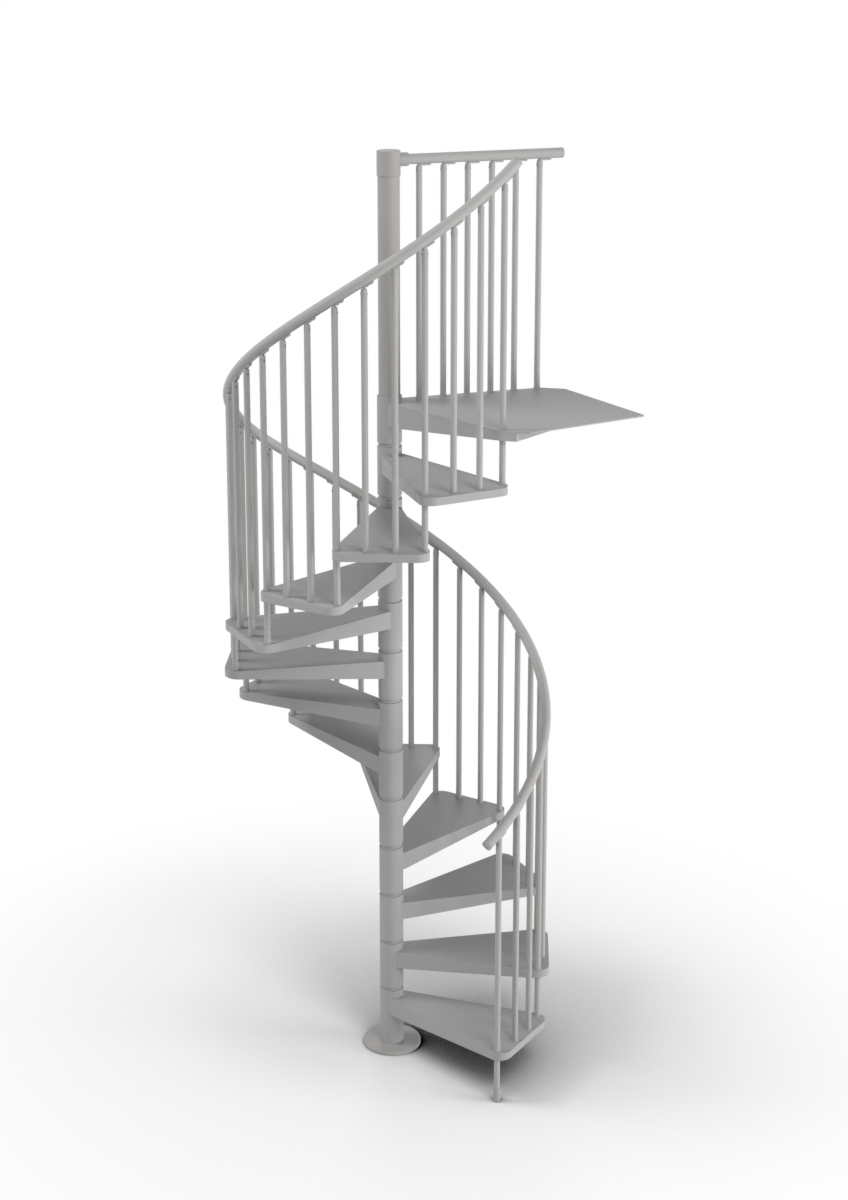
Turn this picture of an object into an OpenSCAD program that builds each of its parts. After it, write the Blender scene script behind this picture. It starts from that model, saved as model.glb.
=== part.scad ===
// Spiral staircase in painted steel. Treads folded from sheet are welded to hubs that stack on a central
// pole, with a spacer ring at each joint. Balusters carry a handrail that follows the helix of the treads,
// and a landing with a straight railing closes the top.
// The origin is on the floor at the pole's axis, +Z is up, and the stair climbs counter-clockwise.

/* [Stair] */
// Rise from one tread to the next
rise = 220; // [190:1:240]
// Turn from one tread to the next, in degrees
tread_turn = 30; // [27:0.5:31]
// Direction of the entry post from the pole, in degrees
start_angle = -47.2; // [-180:0.1:180]
// Height of the first tread's top above the floor
first_top = 230; // [200:1:260]
// Radius of the circle on which the balusters and the handrail stand
rail_radius = 650; // [560:1:900]

/* [Pole and base] */
// Outside diameter of the pole tube
pole_d = 88.9; // [80:0.1:110]
// Wall of the pole tube
pole_wall = 4; // [3:0.1:8]
// Diameter of the base plate
base_d = 250; // [200:1:400]
// Thickness of the base plate
base_t = 15; // [10:0.5:25]
// Wall of the cap that closes the pole
cap_wall = 2.75; // [2:0.05:6]
// Thickness of the cap's top
cap_top_t = 5; // [3:0.5:12]
// Height of the cap below the axis of the landing rail
cap_below = 62; // [45:1:90]
// Height of the cap above the axis of the landing rail
cap_above = 38; // [32:1:60]

/* [Hubs] */
// Wall of the hubs
hub_wall = 6; // [5:0.1:12]
// Height of a hub above its own tread
hub_above = 34; // [24:0.5:60]
// Height of the landing's hub above the landing
landing_hub_above = 24; // [18:0.5:40]
// Height of a spacer ring
ring_h = 16; // [13:0.5:30]
// Wall of a spacer ring, which lies back from the hubs above and below it
ring_wall = 1.2; // [1:0.1:4]

/* [Treads] */
// Width of a tread's neck at the hub
neck_w = 80; // [60:1:90]
// Distance from the corner balusters' axes to the tread's side edges
side_margin = 20; // [18:0.5:30]
// Distance from the corner balusters' axes to the tread's outer edge
end_margin = 48; // [35:1:70]
// Radius of the tread's outer corners
corner_r = 50; // [15:1:60]
// Thickness of the folded sheet
sheet = 3; // [2:0.1:5]
// Depth of the skirt at the hub
skirt_hub = 75; // [50:1:110]
// Depth of the skirt at the outer edge
skirt_end = 32; // [20:1:50]

/* [Balusters] */
// Outside diameter of a baluster
baluster_d = 25; // [18:0.5:30]
// Wall of a baluster
baluster_wall = 2; // [1.5:0.1:4]
// Wall of the collar round a baluster's foot
collar_wall = 2; // [1.6:0.1:6]
// Height of the collar
collar_h = 7; // [4:0.5:20]
// Radius of the collar's upper edge
collar_edge_r = 1.4; // [0.5:0.1:1.6]
// Wall of the foot under the entry post
foot_wall = 3.6; // [2.5:0.1:6]
// Wall of the foot at its neck
foot_neck_wall = 1.8; // [1:0.1:2.4]
// Height of the slope from the foot's neck to its full width
foot_slope_h = 10; // [4:0.5:20]
// Height of the foot
foot_h = 58; // [30:1:90]
// Thickness of the foot under the post
foot_floor = 6; // [3:0.5:15]
// Radius of the foot's lower edge
foot_edge_r = 5; // [1:0.5:8]

/* [Handrail] */
// Outside diameter of both handrails
handrail_d = 42; // [36:0.5:60]
// Wall of the landing rail's tube
handrail_wall = 2.5; // [2:0.1:5]
// Height of the handrail's axis above the front edges of the treads, and above the landing
handrail_h = 975; // [850:1:1100]
// Length of the helical rail past its first and its last baluster
rail_over = 68; // [30:1:110]
// Thickness of an end cap's rim outside the rail
end_cap_t = 4; // [2:0.5:10]
// Radius of an end cap's edge
end_cap_r = 3; // [1:0.5:4]
// Length of a bracket's tab under the rail
tab_l = 50; // [30:1:52]
// Width of a tab
tab_w = 18; // [12:0.5:24]
// Thickness of a tab under the rail's lowest line
tab_t = 5; // [3:0.5:8]
// Height by which a tab's edges come up beside the rail
tab_lip = 1.3; // [0.8:0.1:1.6]
// Height of a bracket's stem between the baluster and its round shoulder
stem_h = 24; // [10:1:40]

/* [Landing] */
// Turn from the last baluster to the landing's railing, in degrees
landing_turn = 67; // [50:0.5:80]
// Distance from the landing's corner balusters to its straight sides
landing_margin = 26; // [18:0.5:60]
// Length of each straight side
landing_side = 108; // [80:1:200]
// Thickness of the landing's plate
landing_t = 6; // [4:0.5:10]
// Radius of the plate's corners
landing_corner_r = 8; // [2:0.5:20]
// Inset of the skirt under the plate's edges
landing_inset = 0.5; // [0.3:0.1:10]
// Depth of the landing's skirt at the hub
landing_skirt_hub = 95; // [70:1:130]
// Depth of the landing's skirt at its outer end
landing_skirt_end = 40; // [25:1:60]
// Length of the skirt along the plate's straight sides
landing_skirt_side = 56; // [30:1:75]
// Angle of the skirt's outer faces from the landing's centre line, in degrees
landing_face_angle = 65; // [55:1:85]
// Distance of the first landing baluster from the pole's axis
landing_first = 128; // [105:1:150]
// Distance of the last landing baluster inside the stair's circle of balusters
landing_last_inset = 4.5; // [0:0.5:30]
// Length of the landing rail past its last baluster
landing_over = 97; // [60:1:140]
// Wall of the socket that joins the landing rail to the cap
socket_wall = 6.2; // [3:0.1:10]
// Length of that socket outside the cap
socket_l = 32; // [20:1:40]

/* [Hidden] */
tread_count = 12;
balusters_per_tread = 3;
landing_baluster_count = 6;
// Clearance between pieces that fit round one another
fit = 0.3;
// Length by which a cut runs past what it cuts
overrun = 1;
// Chamfers of the base plate, the hubs and the cap
base_chamfer = 2;
hub_chamfer = 1;
cap_chamfer = 1.5;
// Length of the cut for the rail in a bracket
saddle_cut_l = 200;
// Number of straight steps in a rounded corner
arc_steps = 8;
// Number of sides of the helical rail, and of its straight lengths from one baluster to the next
rail_sides = 20;
rail_steps = 4;
$fn = 64;

paint = [0.68, 0.67, 0.66];
fitting = [0.62, 0.61, 0.6];

pole_r = pole_d / 2;
bore_r = pole_r + fit;
hub_r = bore_r + hub_wall;
cap_r = bore_r + cap_wall;
baluster_r = baluster_d / 2;
handrail_r = handrail_d / 2;
saddle_r = handrail_r + fit;
baluster_turn = tread_turn / balusters_per_tread;
last_baluster = tread_count * balusters_per_tread;

landing_z = tread_z(tread_count + 1);
landing_rail_z = landing_z + handrail_h;
cap_bottom_z = landing_rail_z - cap_below;
cap_top_z = landing_rail_z + cap_above;
pole_top_z = cap_top_z - cap_top_t;

// A tread's outline, measured from the pole's axis along the tread's centre line
neck_half = neck_w / 2;
tread_wedge = tread_turn / 2 - asin((neck_half - side_margin) / rail_radius);
tread_end = rail_radius * cos(tread_turn / 2) + end_margin;

// The landing's outline, measured the same way along its centre line
landing_angle = baluster_angle(last_baluster) + landing_turn / 2;
railing_angle = landing_angle + landing_turn / 2;
landing_wedge = landing_turn / 2 - asin((neck_half - side_margin) / rail_radius);
landing_half = rail_radius * sin(landing_turn / 2) + landing_margin;
landing_side_start = (landing_half * cos(landing_wedge) - neck_half) / sin(landing_wedge);
landing_side_end = landing_side_start + landing_side;
landing_tip = landing_side_end + landing_half;

// The helix of the handrail, in short straight lengths. One is centred on each baluster, so the corners
// between them lie a little outside the balusters' circle.
ring_turn = baluster_turn / rail_steps;
rail_corner_r = rail_radius / cos(ring_turn / 2);
over_turn = rail_over / rail_radius * 180 / PI;
rail_slope = atan(rise / (rail_radius * tread_turn * PI / 180));
ring_angles = concat(
    [baluster_angle(0) - over_turn],
    [for (i = [0 : rail_steps * last_baluster + 1]) start_angle + (i - 1 / 2) * ring_turn],
    [baluster_angle(last_baluster) + over_turn]
);

// The landing rail, measured from the pole's axis along the railing
landing_last = rail_radius - landing_last_inset;
landing_pitch = (landing_last - landing_first) / (landing_baluster_count - 1);
landing_rail_start = cap_r + fit + socket_wall;
landing_rail_end = landing_last + landing_over;

TREAD_NODES = [for (n = [1 : tread_count]) numbered("tread_", n)];
BALUSTER_NODES = [for (n = [1 : tread_count]) numbered("balusters_", n)];

function numbered(name, n) = str(name, n < 10 ? "0" : "", n);

// Height of a tread's top. The landing counts as the tread after the last.
function tread_z(n) = first_top + (n - 1) * rise;

// Direction of a tread's centre line
function tread_angle(n) = start_angle + (n - 1 / 2) * tread_turn;

// Direction of a baluster. Number 0 is the entry post.
function baluster_angle(k) = start_angle + k * baluster_turn;

// Height of the handrail's axis in any direction along the helix
function rail_z(a) = first_top + handrail_h + (a - start_angle) / tread_turn * rise;

// Number of the tread that a baluster stands on
function carrying_tread(k) = ceil(k / balusters_per_tread);

// Height of a bracket's shoulder centre below the rail's axis
function shoulder_drop(slope) = (saddle_r + baluster_r) / cos(slope);

// Height at which a baluster ends below the rail's axis
function baluster_drop(slope) = shoulder_drop(slope) + stem_h;

// Bottom of a tread's hub: the first stands on the base plate, the others on the ring below
function hub_bottom(n) = n == 1 ? base_t : tread_z(n - 1) + hub_above + ring_h;

// Points of an arc round a centre, from one direction to another
function arc(centre, r, from, to) =
    [for (i = [0 : arc_steps]) let (a = from + (to - from) * i / arc_steps) centre + r * [cos(a), sin(a)]];

function mirrored(points) = [for (i = [len(points) - 1 : -1 : 0]) [points[i].x, -points[i].y]];

// Half of a tread's outline, inset by a distance: the rounded corner, then the neck inside the hub
function tread_half(inset) =
    let (
        r = corner_r - inset,
        offset_line = neck_half - inset - r,
        x = tread_end - inset - r,
        along = (x + offset_line * sin(tread_wedge)) / cos(tread_wedge),
        centre = [x, along * sin(tread_wedge) + offset_line * cos(tread_wedge)]
    )
    concat(
        arc(centre, r, 0, 90 + tread_wedge),
        [[0, (neck_half - inset) / cos(tread_wedge)]]
    );

function tread_outline(inset) = concat(tread_half(inset), mirrored(tread_half(inset)));

// A corner of a convex outline, rounded between the directions of the edges before and after it
function rounded(corner, r, before, after) =
    let (
        half = (after - before) / 2,
        out = before + half - 90,
        centre = corner - r / cos(half) * [cos(out), sin(out)]
    )
    arc(centre, r, before - 90, after - 90);

// The landing plate: a right-angled tip, two straight sides and the wedge back to the hub
function plate_half() = concat(
    rounded([landing_side_end, landing_half], landing_corner_r, 135, 180),
    rounded([landing_side_start, landing_half], landing_corner_r, 180, 180 + landing_wedge),
    [[0, neck_half / cos(landing_wedge)]]
);

function plate_outline() = concat(
    rounded([landing_tip, 0], landing_corner_r, 45, 135),
    plate_half(),
    mirrored(plate_half())
);

// The landing's skirt under the plate, with two outer faces that meet on the centre line
function landing_skirt_half(inset) =
    let (
        half = landing_half - inset,
        offset_line = neck_half - inset,
        start = (half * cos(landing_wedge) - offset_line) / sin(landing_wedge),
        end = landing_side_start + landing_skirt_side - inset / tan(landing_face_angle)
    )
    [
        [end + half / tan(landing_face_angle), 0],
        [end, half],
        [start, half],
        [0, offset_line / cos(landing_wedge)]
    ];

function landing_skirt_outline(inset) =
    concat(landing_skirt_half(inset), mirrored([for (i = [1 : 3]) landing_skirt_half(inset)[i]]));

module ring(outer_r, inner_r, h) {
    difference() {
        cylinder(r = outer_r, h = h);
        translate([0, 0, -overrun]) cylinder(r = inner_r, h = h + 2 * overrun);
    }
}

module tube(d, wall, h) {
    ring(d / 2, d / 2 - wall, h);
}

// Turns a shape to a direction round the pole and moves it out along that direction
module placed(angle, radius, z) {
    rotate([0, 0, angle]) translate([radius, 0, z]) children();
}

// A block whose side view along Y is the given outline of x and z
module side_block(outline, half_width) {
    rotate([90, 0, 0]) linear_extrude(height = 2 * half_width, center = true) polygon(outline);
}

// Skirt that hangs from z = 0 and grows shallower from the hub to its outer end
module skirt_shape(outline, depth_hub, depth_end, taper_end, reach) {
    intersection() {
        translate([0, 0, -depth_hub]) linear_extrude(height = depth_hub) polygon(outline);
        side_block(
            [
                [-hub_r, overrun],
                [reach, overrun],
                [reach, -depth_end],
                [taper_end, -depth_end],
                [hub_r, -depth_hub],
                [-hub_r, -depth_hub]
            ],
            reach
        );
    }
}

// Hub as a solid of revolution round the pole, chamfered at the top
module hub_body(bottom, top, foot_chamfer) {
    rotate_extrude() polygon([
        [0, bottom],
        [hub_r - foot_chamfer, bottom],
        [hub_r, bottom + foot_chamfer],
        [hub_r, top - hub_chamfer],
        [hub_r - hub_chamfer, top],
        [0, top]
    ]);
}

module pole_bore(bottom, top) {
    translate([0, 0, bottom - overrun]) cylinder(r = bore_r, h = top - bottom + 2 * overrun);
}

module baluster_hole(angle, top, depth) {
    placed(angle, rail_radius, top - depth - overrun) cylinder(r = baluster_r + fit, h = depth + 2 * overrun);
}

module base_plate() {
    color(paint) rotate_extrude() polygon([
        [0, 0],
        [base_d / 2, 0],
        [base_d / 2, base_t - base_chamfer],
        [base_d / 2 - base_chamfer, base_t],
        [0, base_t]
    ]);
}

module centre_pole() {
    color(paint) translate([0, 0, base_t]) tube(pole_d, pole_wall, pole_top_z - base_t);
}

// One ring on top of each tread's hub, which carries the next hub and leaves a recess between the two
module spacer_rings() {
    color(paint) for (n = [1 : tread_count]) translate([0, 0, tread_z(n) + hub_above])
        tube(2 * (bore_r + ring_wall), ring_wall, ring_h);
}

module tread(n) {
    top = tread_z(n);
    color(paint) difference() {
        union() {
            rotate([0, 0, tread_angle(n)]) translate([0, 0, top]) difference() {
                skirt_shape(tread_outline(0), skirt_hub, skirt_end, tread_end, tread_end + overrun);
                translate([0, 0, -skirt_hub - overrun])
                    linear_extrude(height = skirt_hub + overrun - sheet) polygon(tread_outline(sheet));
            }
            hub_body(hub_bottom(n), top + hub_above, n == 1 ? 0 : hub_chamfer);
        }
        pole_bore(hub_bottom(n), top + hub_above);
        baluster_hole(baluster_angle((n - 1) * balusters_per_tread), top, sheet);
    }
}

module landing_platform() {
    hub_foot = hub_bottom(tread_count + 1);
    skirt_reach = landing_tip;
    color(paint) difference() {
        union() {
            rotate([0, 0, landing_angle]) translate([0, 0, landing_z]) {
                translate([0, 0, -landing_t]) linear_extrude(height = landing_t) polygon(plate_outline());
                difference() {
                    translate([0, 0, -landing_t / 2])
                        skirt_shape(
                            landing_skirt_outline(landing_inset),
                            landing_skirt_hub - landing_t / 2,
                            landing_skirt_end - landing_t / 2,
                            landing_side_start,
                            skirt_reach
                        );
                    translate([0, 0, -landing_skirt_hub - overrun])
                        linear_extrude(height = landing_skirt_hub + overrun)
                            polygon(landing_skirt_outline(landing_inset + sheet));
                }
            }
            hub_body(hub_foot, landing_z + landing_hub_above, hub_chamfer);
        }
        pole_bore(hub_foot, landing_z + landing_hub_above);
        baluster_hole(baluster_angle(last_baluster), landing_z, landing_t);
    }
}

// Tube from a given height up to the bracket under the helical rail
module stair_baluster(k, bottom) {
    a = baluster_angle(k);
    placed(a, rail_radius, bottom)
        tube(baluster_d, baluster_wall, rail_z(a) - baluster_drop(rail_slope) - bottom);
}

module entry_post() {
    color(paint) stair_baluster(0, foot_floor);
}

module entry_post_foot() {
    inner_r = baluster_r + fit;
    outer_r = inner_r + foot_wall;
    color(fitting) placed(baluster_angle(0), rail_radius, 0) rotate_extrude() polygon(concat(
        [[0, 0]],
        arc([outer_r - foot_edge_r, foot_edge_r], foot_edge_r, -90, 0),
        [
            [outer_r, foot_h - foot_slope_h],
            [inner_r + foot_neck_wall, foot_h],
            [inner_r, foot_h],
            [inner_r, foot_floor],
            [0, foot_floor]
        ]
    ));
}

// The balusters that stand on one tread. The last of them goes on up through the tread above.
module balusters(n) {
    color(paint) for (i = [1 : balusters_per_tread]) stair_baluster(
        (n - 1) * balusters_per_tread + i,
        tread_z(n)
    );
}

// Collar round a baluster's foot, with a round upper edge
module collar() {
    inner_r = baluster_r + fit;
    outer_r = inner_r + collar_wall;
    rotate_extrude() polygon(concat(
        [[inner_r, 0], [outer_r, 0]],
        arc([outer_r - collar_edge_r, collar_h - collar_edge_r], collar_edge_r, 0, 90),
        [[inner_r, collar_h]]
    ));
}

module baluster_collars() {
    color(fitting) {
        for (n = [1 : tread_count])
            for (i = [0 : balusters_per_tread])
                placed(baluster_angle((n - 1) * balusters_per_tread + i), rail_radius, tread_z(n)) collar();
        placed(baluster_angle(last_baluster), rail_radius, landing_z) collar();
    }
}

// Rail bracket: a stem with a round shoulder on the baluster and a tab that cradles the rail.
// Its origin is on the rail's axis above the baluster, and the tab runs along +X at the rail's slope.
module bracket(slope) {
    drop = shoulder_drop(slope);
    tab_start = -drop * sin(slope);
    difference() {
        union() {
            rotate_extrude() polygon(concat(
                [[0, -baluster_drop(slope)], [baluster_r, -baluster_drop(slope)]],
                arc([0, -drop], baluster_r, 0, 90)
            ));
            rotate([0, -slope, 0]) translate([0, 0, -saddle_r - tab_t])
                linear_extrude(height = tab_t + tab_lip) polygon(concat(
                    [[tab_start, tab_w / 2], [tab_start, -tab_w / 2]],
                    arc([tab_start + tab_l - tab_w / 2, 0], tab_w / 2, -90, 90)
                ));
        }
        rotate([0, 90 - slope, 0]) cylinder(r = saddle_r, h = saddle_cut_l, center = true);
    }
}

module rail_brackets() {
    color(fitting) for (k = [0 : last_baluster]) {
        a = baluster_angle(k);
        placed(a, rail_radius, rail_z(a)) rotate([0, 0, 90]) bracket(rail_slope);
    }
}

// Ring of the helical rail in one direction, square to the helix there
function rail_ring(a) =
    let (
        centre = [rail_corner_r * cos(a), rail_corner_r * sin(a), rail_z(a)],
        outward = [cos(a), sin(a), 0],
        along = [-sin(a) * cos(rail_slope), cos(a) * cos(rail_slope), sin(rail_slope)],
        across = cross(along, outward)
    )
    [for (j = [0 : rail_sides - 1]) let (t = 360 * j / rail_sides)
        centre + handrail_r * (cos(t) * outward + sin(t) * across)];

module stair_handrail() {
    last = len(ring_angles) - 1;
    points = [for (a = ring_angles) each rail_ring(a)];
    sides = [
        for (i = [0 : last - 1]) for (j = [0 : rail_sides - 1])
            let (
                near = i * rail_sides + j,
                near_next = i * rail_sides + (j + 1) % rail_sides,
                far = near + rail_sides,
                far_next = near_next + rail_sides
            )
            each [[near, far_next, near_next], [near, far, far_next]]
    ];
    lower_end = [for (j = [0 : rail_sides - 1]) j];
    upper_end = [for (j = [rail_sides - 1 : -1 : 0]) last * rail_sides + j];
    color(paint) polyhedron(points = points, faces = concat(sides, [lower_end, upper_end]));
}

// Round cap that sits on the end of a rail and rises along +Z
module end_cap() {
    rotate_extrude() polygon(concat(
        [[0, 0], [handrail_r, 0]],
        arc([handrail_r - end_cap_r, end_cap_t - end_cap_r], end_cap_r, 0, 90),
        [[0, end_cap_t]]
    ));
}

module handrail_end_caps() {
    lower = ring_angles[0];
    upper = ring_angles[len(ring_angles) - 1];
    color(fitting) {
        placed(lower, rail_corner_r, rail_z(lower)) rotate([0, 90 + rail_slope, -90]) end_cap();
        placed(upper, rail_corner_r, rail_z(upper)) rotate([0, 90 - rail_slope, 90]) end_cap();
        placed(railing_angle, landing_rail_end, landing_rail_z) rotate([0, 90, 0]) end_cap();
    }
}

// Repeats a shape at each landing baluster, at a given height
module along_railing(z) {
    for (i = [0 : landing_baluster_count - 1])
        placed(railing_angle, landing_first + i * landing_pitch, z) children();
}

module landing_balusters() {
    color(paint) along_railing(landing_z) tube(baluster_d, baluster_wall, handrail_h - baluster_drop(0));
}

module landing_collars() {
    color(fitting) along_railing(landing_z) collar();
}

module landing_brackets() {
    color(fitting) along_railing(landing_rail_z) bracket(0);
}

module landing_handrail() {
    color(paint) placed(railing_angle, landing_rail_start, landing_rail_z) rotate([0, 90, 0])
        tube(handrail_d, handrail_wall, landing_rail_end - landing_rail_start);
}

// Socket on the side of the cap. Its end follows the cap, and the rail stands in it.
module rail_socket() {
    color(fitting) difference() {
        placed(railing_angle, 0, landing_rail_z) rotate([0, 90, 0]) difference() {
            cylinder(r = saddle_r + socket_wall, h = cap_r + socket_l);
            translate([0, 0, landing_rail_start]) cylinder(r = saddle_r, h = cap_r + socket_l);
        }
        translate([0, 0, cap_bottom_z - overrun])
            cylinder(r = cap_r + fit, h = cap_top_z - cap_bottom_z + 2 * overrun);
    }
}

module pole_cap() {
    color(paint) rotate_extrude() polygon([
        [bore_r, cap_bottom_z],
        [cap_r - cap_chamfer, cap_bottom_z],
        [cap_r, cap_bottom_z + cap_chamfer],
        [cap_r, cap_top_z - cap_chamfer],
        [cap_r - cap_chamfer, cap_top_z],
        [0, cap_top_z],
        [0, pole_top_z],
        [bore_r, pole_top_z]
    ]);
}

base_plate();
centre_pole();
spacer_rings();
for (n = [1 : tread_count]) tread(n);
landing_platform();
entry_post();
entry_post_foot();
for (n = [1 : tread_count]) balusters(n);
baluster_collars();
rail_brackets();
stair_handrail();
handrail_end_caps();
landing_balusters();
landing_collars();
landing_brackets();
landing_handrail();
rail_socket();
pole_cap();
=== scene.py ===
# %% [markdown]
# A spiral staircase in painted steel.
# Twelve folded treads are stacked on a pole, and a handrail climbs round them on thin balusters. The
# solids of the stair come from the CAD model and stay exactly where they are. This lesson gives them
# their finish, sweeps a smooth handrail over the faceted one, adds the small screws and sets up the
# studio round the stair.

import bpy
import numpy as np
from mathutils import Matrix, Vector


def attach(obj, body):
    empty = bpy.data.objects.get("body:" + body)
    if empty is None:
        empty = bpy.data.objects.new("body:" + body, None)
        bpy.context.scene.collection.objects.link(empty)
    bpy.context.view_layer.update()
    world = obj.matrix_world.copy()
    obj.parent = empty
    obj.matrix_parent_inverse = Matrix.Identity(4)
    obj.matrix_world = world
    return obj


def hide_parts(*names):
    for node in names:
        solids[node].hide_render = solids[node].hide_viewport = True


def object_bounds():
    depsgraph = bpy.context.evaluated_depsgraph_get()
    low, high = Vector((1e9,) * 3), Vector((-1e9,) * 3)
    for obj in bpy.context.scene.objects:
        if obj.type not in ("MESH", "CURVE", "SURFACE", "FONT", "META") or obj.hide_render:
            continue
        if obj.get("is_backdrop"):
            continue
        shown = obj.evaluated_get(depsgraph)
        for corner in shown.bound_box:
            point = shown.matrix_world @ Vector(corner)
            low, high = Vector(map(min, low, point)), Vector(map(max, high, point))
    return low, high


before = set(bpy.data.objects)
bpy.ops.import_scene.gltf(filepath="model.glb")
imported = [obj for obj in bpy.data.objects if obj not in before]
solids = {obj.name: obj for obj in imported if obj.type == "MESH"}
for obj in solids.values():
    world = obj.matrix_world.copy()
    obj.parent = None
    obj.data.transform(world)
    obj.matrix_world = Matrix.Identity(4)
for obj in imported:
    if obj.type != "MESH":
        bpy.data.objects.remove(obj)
solid_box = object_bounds()
print("solids:", len(solids))
print("box from", np.round(solid_box[0], 3), "to", np.round(solid_box[1], 3))

# %% [markdown]
# The camera stands where the photograph was taken from, in front of the stair, a little to the right of
# the pole and nearly a metre above the top rail. From there every tread hides and shows what it does in
# the picture. The photograph keeps the balusters upright, as a lens that slides in its mount does. A
# slide as long as that would push the stair out of the picture in views from other sides, so the camera
# slides a little and looks down for the rest, which leans the outer balusters by about a degree.

# %% Camera
IMAGE_HEIGHT = 1200
FOCAL_PIXELS = 2137.2
SENSOR = 36.0
LENS_SLIDE = -0.15
FAR_CLIP = 200.0
CAMERA_SPOT = (0.1461, -8.4238, 4.8424)
tilt_down, turn_left = np.radians([13.692, 0.043])

lens = bpy.data.cameras.new("photo_lens")
lens.sensor_width = SENSOR
lens.lens = FOCAL_PIXELS / IMAGE_HEIGHT * SENSOR
lens.shift_y = LENS_SLIDE
lens.clip_end = FAR_CLIP
camera = bpy.data.objects.new("photo_camera", lens)
camera.location = CAMERA_SPOT
camera.rotation_euler = (np.pi / 2 - tilt_down, 0.0, turn_left)
bpy.context.scene.collection.objects.link(camera)
bpy.context.scene.camera = camera
bpy.context.scene.view_settings.view_transform = "Standard"
print("camera lens", round(lens.lens, 1), "mm, slid by", LENS_SLIDE)

# %% [markdown]
# Every new piece is a skin over rings of points. A ring could be drawn by hand and extruded, but a
# formula gives all the points at once and can be checked. The rings of one copy follow each other along
# a path, and many copies go into one mesh, because dozens of screws as dozens of objects would only be
# in the way.

# %% Skin over rings of points
def skin(name, rings):
    """Makes an object from rings of points with the shape (copies, rings, points, 3). Point j and point
    j + 1 of a ring and the same two of the next ring make one face, point after point all the way round,
    and the first and the last ring of each copy are closed by a face of their own."""
    copies, along, around, _ = rings.shape
    number = np.arange(copies * along * around).reshape(copies, along, around)
    near, far = number[:, :-1], number[:, 1:]
    sides = np.stack([near, np.roll(near, -1, 2), np.roll(far, -1, 2), far], -1).reshape(-1, 4)
    ends = np.concatenate([number[:, 0, ::-1], number[:, -1]])
    mesh = bpy.data.meshes.new(name)
    mesh.from_pydata(rings.reshape(-1, 3).tolist(), [], sides.tolist() + ends.tolist())
    smooth = np.repeat([True, False], [len(sides), len(ends)])
    mesh.polygons.foreach_set("use_smooth", smooth)
    piece = bpy.data.objects.new(name, mesh)
    bpy.context.scene.collection.objects.link(piece)
    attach(piece, "root")
    print(name, "has", len(sides), "sides and", len(ends), "ends")
    return piece


def turn(*degrees):
    """Cosine and sine of angles in degrees, as two arrays."""
    radians = np.radians(np.array(degrees, float).squeeze())
    return np.cos(radians), np.sin(radians)

# %% [markdown]
# The handrail is a round tube bent to a helix. It climbs one rise for each tread and stays over the
# balusters' circle. A curve object with a bevel would also give a tube, but its section can twist on a
# helix. Here each ring is laid out square to the helix, from the direction away from the pole and the
# direction across the rail, so the section never turns. It stands for the faceted rail of the CAD model.

# %% Handrail
FULL_TURN = 360.0
RISE, TREAD_TURN, START = 0.220, 30.0, -47.2
RAIL_CIRCLE, RAIL_R, RAIL_START_Z = 0.650, 0.021, 1.205
RAIL_OVER = 0.068
RAIL_RINGS, RING_STEP = 373, 9.0
rail_slope = np.arctan(RISE / (RAIL_CIRCLE * np.radians(TREAD_TURN)))


def rail_axis(angle):
    """The helix at angles in degrees: the point on the axis, the direction away from the pole, and the
    direction across the rail, which is square to that and to the axis. The height grows by one rise for
    each tread's turn, and the point goes round the balusters' circle."""
    c, s = turn(angle)
    level = np.zeros_like(c)
    height = RAIL_START_Z + (angle - START) / TREAD_TURN * RISE
    outward = np.stack([c, s, level], -1)
    point = RAIL_CIRCLE * outward + np.stack([level, level, height], -1)
    forward, climb = np.cos(rail_slope), np.sin(rail_slope)
    uphill = np.stack([-s * forward, c * forward, level + climb], -1)
    return point, outward, np.cross(uphill, outward)


over_turn = np.degrees(RAIL_OVER / RAIL_CIRCLE)
rail_angles = np.linspace(START - over_turn, START + FULL_TURN + over_turn, RAIL_RINGS)
point, outward, across = (a[:, None] for a in rail_axis(rail_angles))
round_c, round_s = (a[None, :, None] for a in turn(np.arange(0, FULL_TURN, RING_STEP)))
handrail = skin("bent_handrail", (point + RAIL_R * (round_c * outward + round_s * across))[None])
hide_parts("stair_handrail")
rail_height = round(float(np.ptp(point[..., 2])), 3)
print("handrail climbs", rail_height, "m at", round(np.degrees(rail_slope), 1), "deg")

# %% [markdown]
# Each bracket under the rails is held by a bolt right through its stem, which shows as a dark dot on both
# sides, and carries the rail with two screws in its tab. Bolt ends and screw heads are turned parts, so
# each is a profile of radius and height carried round an axis, with a hexagon pressed into it. Copies are
# then seated on all the brackets at once.

# %% Turned screws
HEAD_SIDES = 12
HEX_TURN = 60.0


def turned(radius, height, pressed):
    """Rings round +Z: a point is radius * (cos t, sin t) at its height. Where pressed is 1, the radius is
    multiplied by cos 30 / cos(t mod 60 - 30), which makes the ring a hexagon."""
    t = np.arange(0, FULL_TURN, FULL_TURN / HEAD_SIDES)
    c, s = turn(t)
    half = HEX_TURN / 2
    hexagon = np.cos(np.radians(half)) / np.cos(np.radians(t % HEX_TURN - half))
    ring = np.array(radius)[:, None] * np.where(np.array(pressed)[:, None] > 0, hexagon, 1.0)
    level = np.broadcast_to(np.array(height)[:, None], ring.shape)
    return np.stack([ring * c, ring * s, level], -1)


def seated(shape, place, right, ahead, out):
    """Copies of a shape: each point goes to place + x * right + y * ahead + z * out."""
    x, y, z = (shape[None, ..., i, None] for i in range(3))
    place, right, ahead, out = (a[:, None, None, :] for a in (place, right, ahead, out))
    return place + x * right + y * ahead + z * out


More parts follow.
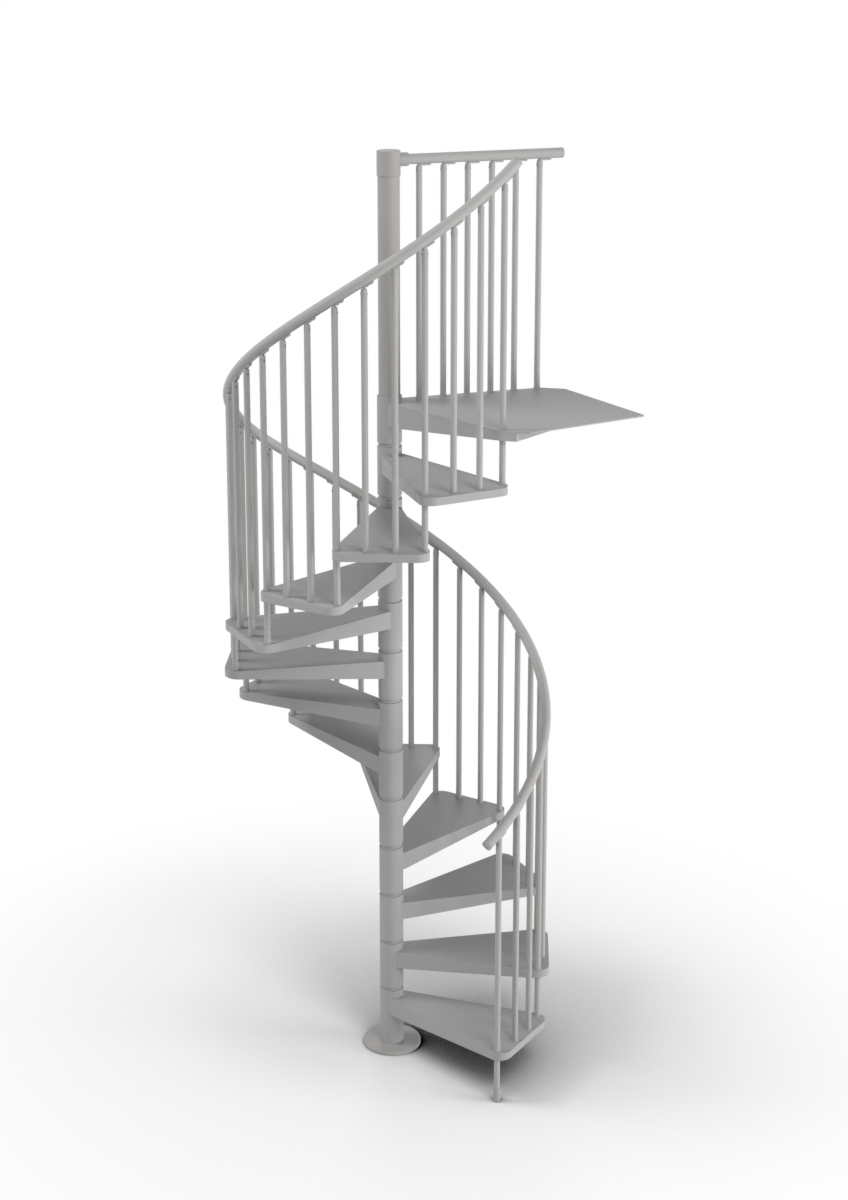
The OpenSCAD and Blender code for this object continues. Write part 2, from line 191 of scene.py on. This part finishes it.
bolt_end = turned(
    radius=[0.0036, 0.0036, 0.0032, 0.0021, 0.0019],
    height=[-0.0015, 0.0002, 0.0006, 0.0006, -0.0009],
    pressed=[0, 0, 0, 1, 1],
)
tab_screw = turned(
    radius=[0.0042, 0.0042, 0.0039, 0.0030, 0.0019, 0.0017],
    height=[-0.0010, 0.0006, 0.0016, 0.0023, 0.0024, 0.0010],
    pressed=[0, 0, 0, 0, 1, 1],
)
print("a bolt end has", bolt_end.shape[0], "rings, a tab screw", tab_screw.shape[0])

# %% [markdown]
# The stair's brackets point uphill and the landing's point away from the pole, so a bracket is described
# by the point on the rail above it, the level direction in which its tab points, and the rail's slope.
# The same three values then seat its bolt and its screws, so nothing is placed by eye.

# %% Places of the brackets
BALUSTERS_ON_STAIR, BALUSTERS_PER_TREAD = 37, 3
LANDING_RAIL_Z, RAILING_TURN = 3.845, 19.8
LANDING_FIRST, LANDING_LAST, LANDING_BALUSTERS = 0.128, 0.6455, 6
UP = np.array([0.0, 0.0, 1.0])

baluster_turn = TREAD_TURN / BALUSTERS_PER_TREAD
stair_point, stair_out, _ = rail_axis(START + baluster_turn * np.arange(BALUSTERS_ON_STAIR))
stair_ahead = np.cross(UP, stair_out)
railing = np.append(np.stack(turn(RAILING_TURN)), 0.0)
landing_point = np.linspace(LANDING_FIRST, LANDING_LAST, LANDING_BALUSTERS)[:, None] * railing
landing_point[:, 2] = LANDING_RAIL_Z
bracket_rail = np.concatenate([stair_point, landing_point])
tab_ahead = np.concatenate([stair_ahead, np.repeat(railing[None], LANDING_BALUSTERS, 0)])
bracket_slope = np.repeat([rail_slope, 0.0], [BALUSTERS_ON_STAIR, LANDING_BALUSTERS])[:, None]
print("brackets:", len(bracket_rail))

# %% [markdown]
# The bolt lies level and points the same way as the tab, so the photograph shows its uphill end on the
# left of the stair and its downhill end on the right. A bolt could be one long rod, but its shank is
# hidden in the stem, so only the two ends are made.

# %% Bolts through the stems
STEM_R, SADDLE_R = 0.0125, 0.0213
BOLT_DROP = 0.012

shoulder_drop = (SADDLE_R + STEM_R) / np.cos(bracket_slope)
bolt_axis = bracket_rail - (shoulder_drop + BOLT_DROP) * UP
bolt_out = np.concatenate([tab_ahead, -tab_ahead])
bolt_spot = np.tile(bolt_axis, (2, 1)) + STEM_R * bolt_out
bolt_right, bolt_ahead = np.cross(UP, bolt_out), np.broadcast_to(UP, bolt_spot.shape)
stem_bolts = skin("stem_bolts", seated(bolt_end, bolt_spot, bolt_right, bolt_ahead, bolt_out))

# %% [markdown]
# The tab lies along the underside of the rail and rises with it. Its two screws go through it into the
# rail, square to the slope, so their heads are seated on the tab's lower face.

# %% Screws under the tabs
TAB_T = 0.005
TAB_SCREW_SPOTS = (0.021, 0.040)

tab_along = tab_ahead * np.cos(bracket_slope) + UP * np.sin(bracket_slope)
tab_down = tab_ahead * np.sin(bracket_slope) - UP * np.cos(bracket_slope)
tab_side = np.cross(tab_along, tab_down)
tab_back = shoulder_drop * np.sin(bracket_slope)
tab_start = bracket_rail - tab_back * tab_along + (SADDLE_R + TAB_T) * tab_down
tab_spots = np.concatenate([tab_start + spot * tab_along for spot in TAB_SCREW_SPOTS])
screw_axes = (np.tile(a, (len(TAB_SCREW_SPOTS), 1)) for a in (tab_side, tab_along, tab_down))
tab_screws = skin("tab_screws", seated(tab_screw, tab_spots, *screw_axes))

# %% [markdown]
# The materials are built from nodes. Setting every socket by hand would take a line for each value, so
# one helper makes a node with its values, and another makes an empty group with named sockets.

# %% Node helpers
def add(tree, kind, **values):
    """A new node of a kind in a node tree. Each value goes to the input socket of that name, where an
    underscore stands for a space, or to the node's own property when it has no such socket."""
    made = tree.nodes.new(kind)
    for key, value in values.items():
        socket = made.inputs.get(key.replace("_", " "))
        if socket is None:
            setattr(made, key, value)
        else:
            socket.default_value = value
    return made


def group(name, inputs, outputs):
    """An empty shader node group with named inputs and outputs, given as (name, socket kind, value)."""
    tree = bpy.data.node_groups.new(name, "ShaderNodeTree")
    for label, kind, value in inputs:
        socket = tree.interface.new_socket(label, in_out="INPUT", socket_type=kind)
        socket.default_value = value
    for label, kind in outputs:
        tree.interface.new_socket(label, in_out="OUTPUT", socket_type=kind)
    return tree, tree.nodes.new("NodeGroupInput"), tree.nodes.new("NodeGroupOutput")

# %% [markdown]
# The steel is powder coated in a warm light grey. Powder melts into a skin that is never quite flat: it
# has a fine orange peel, a faint cloudiness of tone and a gloss that changes a little from place to
# place. All the coated pieces share this skin, so it is one node group, and each material gives it its
# own sizes. It reads Object coordinates, which are the stair's own, so the skin stays on the steel in
# every view.

# %% Coat skin
COLOUR, NUMBER = "NodeSocketColor", "NodeSocketFloat"
FLECKS_PER_METRE, FLECK_SHARE = 1900.0, 0.35
NOISE_MIDDLE = 0.5
coat, coat_in, coat_out = group(
    "coat_skin",
    [
        ("Colour", COLOUR, (0.4, 0.4, 0.4, 1.0)),
        ("Peel per metre", NUMBER, 420.0),
        ("Cloud per metre", NUMBER, 6.0),
        ("Cloud depth", NUMBER, 0.05),
        ("Roughness", NUMBER, 0.45),
        ("Roughness spread", NUMBER, 0.08),
    ],
    [("Colour", COLOUR), ("Roughness", NUMBER), ("Height", NUMBER)],
)
link = coat.links.new
spot = add(coat, "ShaderNodeTexCoord")
peel = add(coat, "ShaderNodeTexNoise", Detail=2.0, Roughness=0.45)
cloud = add(coat, "ShaderNodeTexNoise", Detail=3.0, Roughness=0.55)
fleck = add(coat, "ShaderNodeTexNoise", Scale=FLECKS_PER_METRE, Detail=1.0)
for texture in (peel, cloud, fleck):
    link(spot.outputs["Object"], texture.inputs["Vector"])
link(coat_in.outputs["Peel per metre"], peel.inputs["Scale"])
link(coat_in.outputs["Cloud per metre"], cloud.inputs["Scale"])

flecks = add(coat, "ShaderNodeMath", operation="MULTIPLY_ADD")
flecks.inputs[1].default_value = FLECK_SHARE
flecks.inputs[2].default_value = -FLECK_SHARE * NOISE_MIDDLE
link(fleck.outputs["Fac"], flecks.inputs[0])
tone = add(coat, "ShaderNodeMath", operation="ADD")
link(cloud.outputs["Fac"], tone.inputs[0])
link(flecks.outputs[0], tone.inputs[1])
centred = add(coat, "ShaderNodeMath", operation="SUBTRACT")
centred.inputs[1].default_value = NOISE_MIDDLE
link(tone.outputs[0], centred.inputs[0])
lift = add(coat, "ShaderNodeMath", operation="MULTIPLY_ADD")
lift.inputs[2].default_value = 1.0
link(centred.outputs[0], lift.inputs[0])
link(coat_in.outputs["Cloud depth"], lift.inputs[1])
tinted = add(coat, "ShaderNodeVectorMath", operation="SCALE")
link(coat_in.outputs["Colour"], tinted.inputs[0])
link(lift.outputs[0], tinted.inputs["Scale"])
link(tinted.outputs[0], coat_out.inputs["Colour"])

gloss = add(coat, "ShaderNodeMath", operation="MULTIPLY_ADD")
link(centred.outputs[0], gloss.inputs[0])
link(coat_in.outputs["Roughness spread"], gloss.inputs[1])
link(coat_in.outputs["Roughness"], gloss.inputs[2])
link(gloss.outputs[0], coat_out.inputs["Roughness"])
link(peel.outputs["Fac"], coat_out.inputs["Height"])
print("coat_skin has", len(coat.nodes), "nodes")

# %% [markdown]
# Sheet metal and tubes never end in a knife edge: the press rounds a fold and the coat flows over it.
# The solids have sharp edges, so a second shared group rounds their shading with a Bevel node. Real
# fillets would cost thousands of faces for an edge that is thinner than a pixel here.

# %% Soft edges
edges, edges_in, edges_out = group(
    "soft_edges", [("Radius", NUMBER, 0.002)], [("Normal", "NodeSocketVector")]
)
rounded = add(edges, "ShaderNodeBevel", samples=6)
edges.links.new(edges_in.outputs["Radius"], rounded.inputs["Radius"])
edges.links.new(rounded.outputs["Normal"], edges_out.inputs["Normal"])
print("soft_edges has", len(edges.nodes), "nodes")

# %% [markdown]
# The tops of the treads and of the landing carry painted shade: a colour a little darker and pinker than
# the folded sides, since faces that look up get less light. Two materials on one solid would need its
# faces sorted, so a group tells tops from sides by how steeply a face looks up.

# %% Painted shade on the tops
SIDE_UNTIL, TOP_FROM = 0.6, 0.95
tops, tops_in, tops_out = group(
    "painted_top_shade",
    [("Sides", COLOUR, (0.40, 0.40, 0.40, 1.0)), ("Shaded tops", COLOUR, (0.36, 0.35, 0.35, 1.0))],
    [("Colour", COLOUR)],
)
facing = add(tops, "ShaderNodeNewGeometry")
split = add(tops, "ShaderNodeSeparateXYZ")
upward = add(tops, "ShaderNodeMapRange", From_Min=SIDE_UNTIL, From_Max=TOP_FROM)
upward.interpolation_type = "SMOOTHSTEP"
chosen = add(tops, "ShaderNodeMix", data_type="RGBA")
tops.links.new(facing.outputs["Normal"], split.inputs[0])
tops.links.new(split.outputs["Z"], upward.inputs["Value"])
tops.links.new(upward.outputs["Result"], chosen.inputs["Factor"])
tops.links.new(tops_in.outputs["Sides"], chosen.inputs["A"])
tops.links.new(tops_in.outputs["Shaded tops"], chosen.inputs["B"])
tops.links.new(chosen.outputs["Result"], tops_out.inputs["Colour"])
print("painted_top_shade has", len(tops.nodes), "nodes")

# %% [markdown]
# A finish joins the three groups in front of one Principled shader. Each material could be wired by hand,
# but then a change to one would be forgotten in the others.

# %% Finish
PEEL_STRENGTH = 0.25


def finish(name, sides, shaded_tops_colour, edge, peel_depth, **skin_values):
    """A coated or moulded finish: the top-shade group gives the colour, with painted shade on faces
    that look up when the tops colour is darker than the sides, the coat skin clouds it and gives the
    roughness and height, the soft edges give the normal under the height, and one Principled shader
    takes all. The skin values go to the coat skin's inputs."""
    material = bpy.data.materials.new(name)
    material.use_nodes = True
    tree = material.node_tree
    shader = tree.nodes["Principled BSDF"]
    top_shade = add(tree, "ShaderNodeGroup", node_tree=tops)
    top_shade.inputs["Sides"].default_value = (*sides, 1.0)
    top_shade.inputs["Shaded tops"].default_value = (*shaded_tops_colour, 1.0)
    layer = add(tree, "ShaderNodeGroup", node_tree=coat, **skin_values)
    corner = add(tree, "ShaderNodeGroup", node_tree=edges, Radius=edge)
    bump = add(tree, "ShaderNodeBump", Strength=PEEL_STRENGTH, Distance=peel_depth)
    tree.links.new(top_shade.outputs["Colour"], layer.inputs["Colour"])
    tree.links.new(layer.outputs["Height"], bump.inputs["Height"])
    tree.links.new(corner.outputs["Normal"], bump.inputs["Normal"])
    tree.links.new(layer.outputs["Colour"], shader.inputs["Base Color"])
    tree.links.new(layer.outputs["Roughness"], shader.inputs["Roughness"])
    tree.links.new(bump.outputs["Normal"], shader.inputs["Normal"])
    return material

# %% [markdown]
# Four finishes cover the stair. The treads and the landing are walked on, so their coat is a little
# coarser and duller than the satin coat of the pole, its base plate and its cap. The balusters and rails
# are thin drawn tubes with the smoothest coat. Collars, brackets, the foot, the rail's socket and the end
# caps are moulded in the same grey.

# %% Finishes of the stair
# The tubes take a lighter grey than the pole, though both wear one coat: painted light on the thin tubes.
WARM_GREY, TUBE_LIGHTENED_GREY = (0.380, 0.372, 0.361), (0.424, 0.417, 0.408)
# The tread tops take a darker grey than their sides: painted shade for the weaker light from above.
SIDE_GREY, TOP_SHADE_GREY = (0.408, 0.406, 0.404), (0.380, 0.369, 0.371)
MOULDED_GREY = (0.404, 0.399, 0.392)
tread_coat = finish(
    "tread_coat", SIDE_GREY, TOP_SHADE_GREY, edge=0.0020, peel_depth=0.0003, Peel_per_metre=520.0,
    Cloud_per_metre=5.0, Cloud_depth=0.07, Roughness=0.55, Roughness_spread=0.10,
)
pole_coat = finish(
    "pole_coat", WARM_GREY, WARM_GREY, edge=0.0008, peel_depth=0.0002, Peel_per_metre=380.0,
    Cloud_per_metre=4.0, Cloud_depth=0.05, Roughness=0.46, Roughness_spread=0.08,
)
tube_coat = finish(
    "tube_coat", TUBE_LIGHTENED_GREY, TUBE_LIGHTENED_GREY, edge=0.0008, peel_depth=0.0001, Peel_per_metre=420.0,
    Cloud_per_metre=5.0, Cloud_depth=0.04, Roughness=0.40, Roughness_spread=0.05,
)
fitting_grey = finish(
    "fitting_grey", MOULDED_GREY, MOULDED_GREY, edge=0.0008, peel_depth=0.0001, Peel_per_metre=900.0,
    Cloud_per_metre=12.0, Cloud_depth=0.04, Roughness=0.38, Roughness_spread=0.06,
)

coat_of = {
    "tread": tread_coat,
    "landing_platform": tread_coat,
    "balusters": tube_coat,
    "entry_post": tube_coat,
    "landing_balusters": tube_coat,
    "landing_handrail": tube_coat,
    "stair_handrail": tube_coat,
    "centre_pole": pole_coat,
    "base_plate": pole_coat,
    "spacer_rings": pole_coat,
    "pole_cap": pole_coat,
}
for name, solid in solids.items():
    kind = name.rstrip("_0123456789")
    solid.data.materials.clear()
    solid.data.materials.append(coat_of.get(kind, fitting_grey))
handrail.data.materials.append(tube_coat)
tab_screws.data.materials.append(fitting_grey)
print("finishes:", sorted({solid.data.materials[0].name for solid in solids.values()}))

# %% [markdown]
# The bolts are blackened steel, which shows as dark dots on the stems. The oxide is a thin skin over
# metal, so it takes half the metallic value of bare steel and a cloudy roughness from the same coat
# group. The screws under the tabs are coated with the brackets and hardly show.

# %% Blackened bolts
OXIDE = (0.030, 0.029, 0.030)
OXIDE_METALLIC = 0.5
black_oxide = finish(
    "black_oxide", OXIDE, OXIDE, edge=0.0003, peel_depth=0.0002, Peel_per_metre=700.0,
    Cloud_per_metre=90.0, Cloud_depth=0.5, Roughness=0.45, Roughness_spread=0.2,
)
oxide_shader = black_oxide.node_tree.nodes["Principled BSDF"]
oxide_shader.inputs["Metallic"].default_value = OXIDE_METALLIC
stem_bolts.data.materials.append(black_oxide)
print("bolts are", black_oxide.name)

# %% [markdown]
# The floor and the room have to look white to the camera and still light the stair only softly. A second
# floor and room for the light alone could do that, but Light Path tells the two kinds of rays apart
# inside one material, so a small helper gives the value that both of them mix by.

# %% Straight look
def straight_look(tree):
    """A value that is 1 for rays from the camera, from mirrors and through glass, and 0 for light."""
    path = add(tree, "ShaderNodeLightPath")
    either = add(tree, "ShaderNodeMath", operation="MAXIMUM")
    any_of = add(tree, "ShaderNodeMath", operation="MAXIMUM")
    tree.links.new(path.outputs["Is Camera Ray"], either.inputs[0])
    tree.links.new(path.outputs["Is Glossy Ray"], either.inputs[1])
    tree.links.new(either.outputs[0], any_of.inputs[0])
    tree.links.new(path.outputs["Is Transmission Ray"], any_of.inputs[1])
    return any_of.outputs[0]

# %% [markdown]
# The floor is one large flat sheet under the stair. It reaches so far that no view shows its edge, which
# a curved studio backdrop would only do from the front.

# %% Floor sheet
FLOOR_HALF = 60.0
corners = np.array([[-1, -1, 0], [1, -1, 0], [1, 1, 0], [-1, 1, 0]], float) * FLOOR_HALF
floor_mesh = bpy.data.meshes.new("studio_floor")
floor_mesh.from_pydata(corners.tolist(), [], [(0, 1, 2, 3)])
floor = bpy.data.objects.new("studio_floor", floor_mesh)
bpy.context.scene.collection.objects.link(floor)
floor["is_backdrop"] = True
print("floor is", 2 * FLOOR_HALF, "m wide")

# %% [markdown]
# Seen straight, the sheet is bright enough to melt into the white background, and it keeps the soft
# shadow under the stair. The lamps alone would leave that shadow thin, so the sheet's colour also holds
# a painted shadow: it darkens where the stair hides the room. That is counted round a direction that
# leans to the front, so that the painted shadow lies behind the treads and stops short in front of them.
# For light that bounces on to the stair it is an ordinary pale floor.

# %% Floor paper
WHITE, BOUNCED_GREY = (1.0, 1.0, 1.0, 1.0), (0.55, 0.55, 0.55, 1.0)
SHADOW_LEAN = (-0.145, -0.397, 0.906)
SHADOW_REACH, SHADOW_CORE, SHADOW_CURVE = 1.5, 0.42, 0.65
PAPER_BRIGHT = 1.08
FADE_FROM, FADE_TO = 0.41, 2.76
floor_paper = bpy.data.materials.new("floor_paper")
floor_paper.use_nodes = True
tree = floor_paper.node_tree
tree.nodes.clear()
bounced = add(tree, "ShaderNodeBsdfDiffuse", Color=BOUNCED_GREY)
near = add(tree, "ShaderNodeBsdfDiffuse")
far_white = add(tree, "ShaderNodeEmission", Color=WHITE, Strength=1.0)
lean = add(tree, "ShaderNodeCombineXYZ", **dict(zip("XYZ", SHADOW_LEAN)))
# Painted shadow: the floor's seen colour darkens where the stair hides the room, round the leaning direction.
shadow_paint = add(tree, "ShaderNodeAmbientOcclusion", Distance=SHADOW_REACH, samples=16)
core = add(tree, "ShaderNodeMapRange", From_Min=SHADOW_CORE)
softer = add(tree, "ShaderNodeMath", operation="POWER")
softer.inputs[1].default_value = SHADOW_CURVE
paper_white = add(tree, "ShaderNodeMath", operation="MULTIPLY")
paper_white.inputs[1].default_value = PAPER_BRIGHT
tree.links.new(lean.outputs[0], shadow_paint.inputs["Normal"])
tree.links.new(shadow_paint.outputs["AO"], core.inputs["Value"])
tree.links.new(core.outputs["Result"], softer.inputs[0])
tree.links.new(softer.outputs[0], paper_white.inputs[0])
tree.links.new(paper_white.outputs[0], near.inputs["Color"])

place = add(tree, "ShaderNodeTexCoord")
distance = add(tree, "ShaderNodeVectorMath", operation="LENGTH")
fade = add(tree, "ShaderNodeMapRange", From_Min=FADE_FROM, From_Max=FADE_TO)
fade.interpolation_type = "SMOOTHSTEP"
seen = add(tree, "ShaderNodeMixShader")
tree.links.new(place.outputs["Object"], distance.inputs[0])
tree.links.new(distance.outputs["Value"], fade.inputs["Value"])
tree.links.new(fade.outputs["Result"], seen.inputs[0])
tree.links.new(near.outputs[0], seen.inputs[1])
tree.links.new(far_white.outputs[0], seen.inputs[2])

choose = add(tree, "ShaderNodeMixShader")
sheet_out = add(tree, "ShaderNodeOutputMaterial")
tree.links.new(straight_look(tree), choose.inputs[0])
tree.links.new(bounced.outputs[0], choose.inputs[1])
tree.links.new(seen.outputs[0], choose.inputs[2])
tree.links.new(choose.outputs[0], sheet_out.inputs["Surface"])
floor_mesh.materials.append(floor_paper)
print("floor_paper has", len(tree.nodes), "nodes")

# %% [markdown]
# The studio is a white room. It is white for the camera and for reflections, and dim as a light, because
# a room that lit the stair as brightly as it looks would leave no shade on it.

# %% Room
ROOM_LIGHT = 0.168
world = bpy.data.worlds.new("white_room")
bpy.context.scene.world = world
world.use_nodes = True
tree = world.node_tree
tree.nodes.clear()
white = add(tree, "ShaderNodeBackground", Color=WHITE, Strength=1.0)
dim = add(tree, "ShaderNodeBackground", Color=WHITE, Strength=ROOM_LIGHT)
choose = add(tree, "ShaderNodeMixShader")
room_out = add(tree, "ShaderNodeOutputWorld")
tree.links.new(straight_look(tree), choose.inputs[0])
tree.links.new(dim.outputs[0], choose.inputs[1])
tree.links.new(white.outputs[0], choose.inputs[2])
tree.links.new(choose.outputs[0], room_out.inputs["Surface"])
print("white_room has", len(tree.nodes), "nodes")

# %% [markdown]
# Five soft lamps light the stair. What looks left or right is lightest in the photograph, and what looks
# up or to the front is darker, so the strong lamps stand at the sides: one high on the left and one low
# on the right. A lamp high in front lights the tops of the treads, a weak low one fills in their fronts,
# and one at the back keeps the far side of the stair from going dark. No lamp shows in the coat, because
# the photograph has no bright streaks along its tubes.

# %% Lamps
LAMP_DISTANCE = 7.0
LAMP_AIM = np.array([0.1, 0.0, 1.9])


def soft_lamp(name, azimuth, elevation, size, watts):
    """A square soft lamp on a sphere round the stair, azimuth degrees to the right of the camera and
    elevation degrees above the middle of the stair, which it faces."""
    (c, side), (level, up) = turn(azimuth), turn(elevation)
    spot = LAMP_AIM + LAMP_DISTANCE * np.array([side * level, -c * level, up])
    data = bpy.data.lights.new(name, "AREA")
    data.size, data.energy = size, watts
    lamp = bpy.data.objects.new(name, data)
    lamp.visible_glossy = False
    lamp.location = spot
    lamp.rotation_euler = (np.radians(90 - elevation), 0.0, np.radians(azimuth))
    bpy.context.scene.collection.objects.link(lamp)
    print(name, "at", np.round(spot, 2), "with", watts, "W")


# Name, azimuth, elevation, size and watts of each lamp
lamps = (
    ("front_lamp", 30, 45, 2.4, 180.0),
    ("left_lamp", -92, 45, 2.6, 229.0),
    ("low_left_lamp", -40, -5, 2.6, 110.0),
    ("low_right_lamp", 75, -5, 2.6, 339.0),
    ("back_lamp", 180, 8, 2.6, 90.0),
)
for lamp in lamps:
    soft_lamp(*lamp)

# %% [markdown]
# The last step compares the box of the dressed stair with the box of the solids, because the finish must
# not make the stair bigger.

# %% Size
dressed_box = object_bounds()
boxes = {"cad": [list(map(float, c)) for c in solid_box], "visual": [list(map(float, c)) for c in dressed_box]}
growth = np.abs(np.array(boxes["cad"]) - boxes["visual"]).max()
print("largest growth:", round(float(growth) * 1000, 2), "mm")
